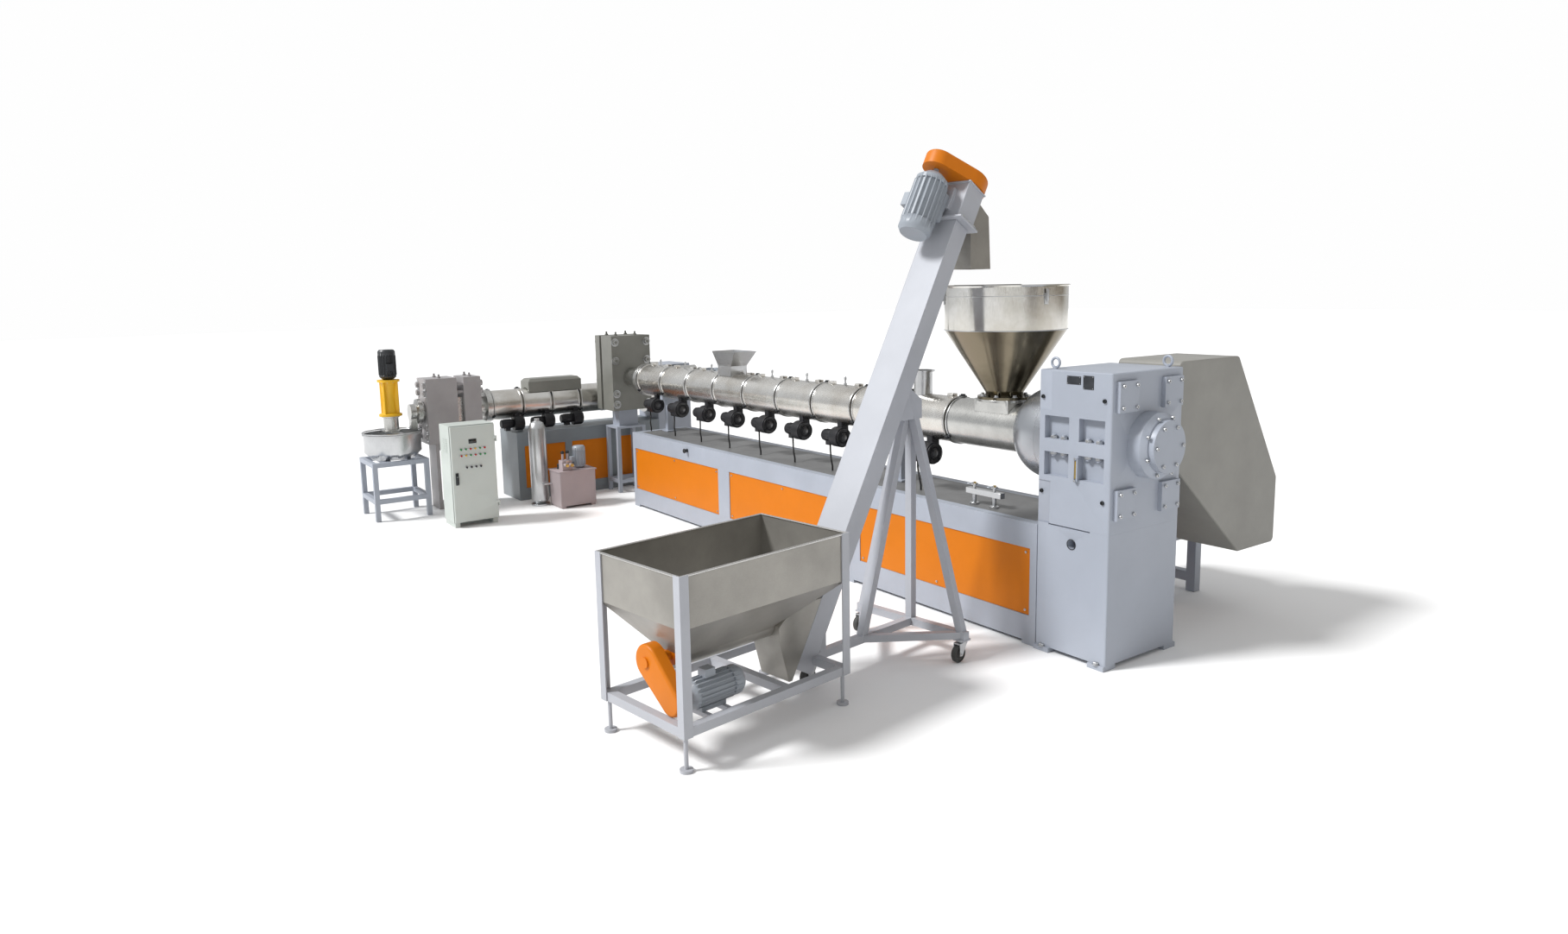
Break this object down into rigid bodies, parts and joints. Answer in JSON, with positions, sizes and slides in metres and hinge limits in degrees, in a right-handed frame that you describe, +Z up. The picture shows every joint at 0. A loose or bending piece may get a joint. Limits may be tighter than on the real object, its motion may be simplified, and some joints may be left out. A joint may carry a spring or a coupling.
{
  "type": "plastic recycling extrusion line",
  "caption": "Two-stage plastic recycling line: screw loader and hopper feed a long heated extruder, then a crosswise second extruder with strand-cutting head.",
  "frame": {"origin": "on the floor, at the centre of the underside of the gear case pedestal", "axes": "+Z up; the long barrel runs along X with its outlet towards -X; the loader stands on the -Y side"},
  "size_m": [6.9737, 3.8594, 2.5976],
  "materials": {
    "frame_paint": "satin, pale blue grey",
    "deck_paint": "satin, mid grey",
    "panel_paint": "satin, orange",
    "machine_paint": "satin, pale blue grey",
    "bright_steel": "bright, brushed",
    "barrel_steel": "machined",
    "cover_steel": "bright sheet",
    "blower_black": "semi gloss black",
    "conduit_black": "ribbed black",
    "hopper_steel": "mirror polished",
    "tray_steel": "brushed, warm grey",
    "guard_grey": "satin, grey brown",
    "motor_grey": "satin, blue grey",
    "motor_dark": "satin, dark grey",
    "changer_steel": "satin, olive grey",
    "guard_orange": "satin, orange",
    "stool_yellow": "satin, yellow",
    "cabinet_paint": "satin, pale greenish grey",
    "oil_tank_paint": "satin, pinkish grey",
    "tyre": "grey rubber",
    "zinc": "zinc plated"
  },
  "bodies": {
    "line": {"accumulator": "bright_steel", "barrel": "barrel_steel", "barrel_cradles": "frame_paint", "barrel_vents": "bright_steel", "bed_deck": "deck_paint", "bed_frame": "frame_paint", "bed_panels": "panel_paint", "blower_conduits": "conduit_black", "blower_housings": "blower_black", "blower_motors": "blower_black", "cabinet_body": "cabinet_paint", "changer_stand": "frame_paint", "cooling_manifold": "bright_steel", "cutter_motor": "motor_dark", "cutter_stool": "stool_yellow", "die_head": "barrel_steel", "drive_belt_guard": "guard_grey", "drive_motor": "motor_grey", "drive_motor_base": "frame_paint", "feed_hopper": "hopper_steel", "feed_throat": "barrel_steel", "gear_case": "machine_paint", "gear_pedestal": "machine_paint", "heater_covers": "cover_steel", "hopper_lid": "tray_steel", "hydraulic_motor": "motor_grey", "hydraulic_tank": "oil_tank_paint", "loader_belt_guard": "guard_orange", "loader_boot": "tray_steel", "loader_head": "frame_paint", "loader_motor": "motor_grey", "loader_spout": "tray_steel", "loader_stand": "frame_paint", "loader_tube": "frame_paint", "melt_elbow": "barrel_steel", "screen_changer": "changer_steel", "screen_slide": "barrel_steel", "second_barrel": "barrel_steel", "second_bed": "frame_paint", "second_covers": "cover_steel", "second_gear_case": "machine_paint", "second_motor": "motor_grey", "second_panels": "panel_paint", "second_screen_changer": "changer_steel", "second_slide": "barrel_steel", "second_vent_box": "changer_steel", "thrust_housing": "cover_steel", "trough_belt_guard": "guard_orange", "trough_frame": "frame_paint", "trough_motor": "motor_grey", "trough_tray": "tray_steel", "water_stand": "frame_paint", "water_tank": "bright_steel"},
    "cabinet_door": {"cabinet_door": "cabinet_paint"},
    "caster_fork_1": {"caster_fork_1": "zinc"},
    "caster_fork_2": {"caster_fork_2": "zinc"},
    "caster_fork_3": {"caster_fork_3": "zinc"},
    "caster_wheel_1": {"caster_wheel_1": "tyre"},
    "caster_wheel_2": {"caster_wheel_2": "tyre"},
    "caster_wheel_3": {"caster_wheel_3": "tyre"}
  },
  "joints": [
    {"name": "cabinet_door_hinge", "type": "hinge", "parent": "line", "child": "cabinet_door", "pos_m": [-4.912, -1.482, 0.45], "axis": [0, 0, 1], "range_deg": [0, 110]},
    {"name": "caster_1_swivel", "type": "hinge", "parent": "line", "child": "caster_fork_1", "pos_m": [-0.32265, -0.7216, 0.1], "axis": [0, 0, 1], "continuous": true},
    {"name": "caster_1_roll", "type": "hinge", "parent": "caster_fork_1", "child": "caster_wheel_1", "pos_m": [-0.31839, -0.7513, 0.045], "axis": [0.9899, 0.142, 0], "continuous": true},
    {"name": "caster_2_swivel", "type": "hinge", "parent": "line", "child": "caster_fork_2", "pos_m": [-0.98586, -0.81672, 0.1], "axis": [0, 0, 1], "continuous": true},
    {"name": "caster_2_roll", "type": "hinge", "parent": "caster_fork_2", "child": "caster_wheel_2", "pos_m": [-0.9816, -0.84642, 0.045], "axis": [0.9899, 0.142, 0], "continuous": true},
    {"name": "caster_3_swivel", "type": "hinge", "parent": "line", "child": "caster_fork_3", "pos_m": [-0.54792, -1.51057, 0.1], "axis": [0, 0, 1], "continuous": true},
    {"name": "caster_3_roll", "type": "hinge", "parent": "caster_fork_3", "child": "caster_wheel_3", "pos_m": [-0.54366, -1.54027, 0.045], "axis": [0.9899, 0.142, 0], "continuous": true}
  ]
}
